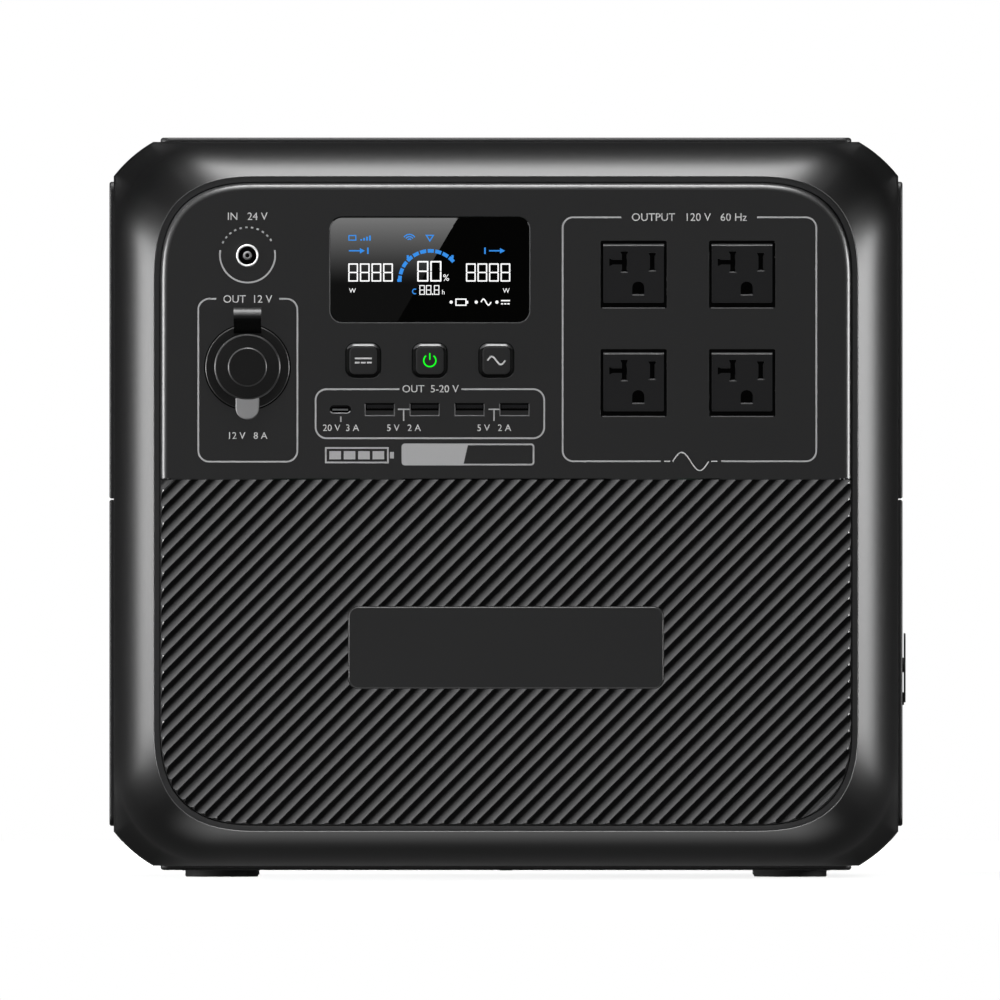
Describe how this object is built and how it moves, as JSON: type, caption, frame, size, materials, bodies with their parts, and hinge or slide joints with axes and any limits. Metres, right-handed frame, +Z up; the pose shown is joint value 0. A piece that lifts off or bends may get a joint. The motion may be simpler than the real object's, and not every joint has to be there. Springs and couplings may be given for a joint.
{
  "type": "portable power station",
  "caption": "Box-shaped battery power station with a moulded frame, a control panel with display, buttons, ports and outlets, a diagonally ribbed lower panel and side grips.",
  "frame": {"origin": "under the middle of the object, on the plane of the feet", "axes": "+Z up, front panel facing -Y, +X to the right as seen from the front"},
  "size_m": [0.3417, 0.247, 0.317],
  "materials": {
    "frame_satin": "satin moulded",
    "panel_matte": "fine matte grain",
    "cover_plastic": "matte grain",
    "rubber_black": "matte",
    "lens_black": "polished",
    "bright_metal": "nickel plated",
    "sheet_metal": "plain sheet",
    "circuit_board": "solder mask",
    "cell_wrap": "film wrapped",
    "copper_wire": "enamelled copper",
    "print_grey": "screen print",
    "display_white": "lit segment",
    "display_blue": "lit segment",
    "symbol_green": "lit symbol",
    "screw_steel": "blackened"
  },
  "bodies": {
    "housing": {"ac_inlet": "cover_plastic", "ac_inlet_contacts": "bright_metal", "ac_outlet_1": "cover_plastic", "ac_outlet_2": "cover_plastic", "ac_outlet_3": "cover_plastic", "ac_outlet_4": "cover_plastic", "base_cover": "cover_plastic", "battery_cells": "cell_wrap", "battery_tray": "sheet_metal", "bms_board": "circuit_board", "breaker_body": "cover_plastic", "button_board": "circuit_board", "car_socket_barrel": "rubber_black", "car_socket_contact": "bright_metal", "car_socket_nut": "bright_metal", "charging_coil": "copper_wire", "charging_pad": "rubber_black", "chassis_shelf": "sheet_metal", "control_panel": "panel_matte", "dc_jack_core": "bright_metal", "dc_jack_ring": "bright_metal", "display_lens": "lens_black", "display_module": "circuit_board", "fan_frame_1": "cover_plastic", "fan_frame_2": "cover_plastic", "foot_front_left": "rubber_black", "foot_front_right": "rubber_black", "foot_rear_left": "rubber_black", "foot_rear_right": "rubber_black", "front_frame": "frame_satin", "front_gasket": "rubber_black", "heat_sink": "sheet_metal", "housing_sleeve": "cover_plastic", "inverter_board": "circuit_board", "left_grip_cup": "panel_matte", "left_handle_cover": "cover_plastic", "left_vent_cover": "cover_plastic", "name_plate": "panel_matte", "outlet_board": "circuit_board", "port_board": "circuit_board", "rear_frame": "frame_satin", "rear_panel": "panel_matte", "ribbed_panel": "panel_matte", "right_grip_cup": "panel_matte", "right_handle_cover": "cover_plastic", "right_vent_cover": "cover_plastic", "top_cover": "cover_plastic", "usb_a_port_1": "bright_metal", "usb_a_port_2": "bright_metal", "usb_a_port_3": "bright_metal", "usb_a_port_4": "bright_metal", "usb_c_port": "bright_metal"},
    "ac_button": {"ac_button": "panel_matte"},
    "ac_inlet_cover": {"ac_inlet_cover": "rubber_black"},
    "breaker_button": {"breaker_button": "rubber_black"},
    "car_socket_cover": {"car_socket_cover": "rubber_black"},
    "dc_button": {"dc_button": "panel_matte"},
    "fan_rotor_1": {"fan_rotor_1": "cover_plastic"},
    "fan_rotor_2": {"fan_rotor_2": "cover_plastic"},
    "power_button": {"power_button": "panel_matte"}
  },
  "joints": [
    {"name": "dc_button_press", "type": "slide", "parent": "housing", "child": "dc_button", "axis": [0, 1, 0], "range_m": [0, 0.0009], "stiffness_N_per_m": 800},
    {"name": "power_button_press", "type": "slide", "parent": "housing", "child": "power_button", "axis": [0, 1, 0], "range_m": [0, 0.0009], "stiffness_N_per_m": 800},
    {"name": "ac_button_press", "type": "slide", "parent": "housing", "child": "ac_button", "axis": [0, 1, 0], "range_m": [0, 0.0009], "stiffness_N_per_m": 800},
    {"name": "car_socket_cover_hinge", "type": "hinge", "parent": "housing", "child": "car_socket_cover", "pos_m": [-0.1106, -0.1213, 0.2421], "axis": [-1, 0, 0], "range_deg": [0, 120]},
    {"name": "ac_inlet_cover_hinge", "type": "hinge", "parent": "housing", "child": "ac_inlet_cover", "pos_m": [0.17015, 0.0574, 0.10755], "axis": [0, -1, 0], "range_deg": [0, 120]},
    {"name": "breaker_button_slide", "type": "slide", "parent": "housing", "child": "breaker_button", "axis": [1, 0, 0], "range_m": [0, 0.003]},
    {"name": "fan_1_spin", "type": "hinge", "parent": "housing", "child": "fan_rotor_1", "pos_m": [-0.1562, -0.0309, 0.1275], "axis": [1, 0, 0], "continuous": true},
    {"name": "fan_2_spin", "type": "hinge", "parent": "housing", "child": "fan_rotor_2", "pos_m": [-0.1562, 0.0351, 0.1275], "axis": [1, 0, 0], "continuous": true}
  ]
}
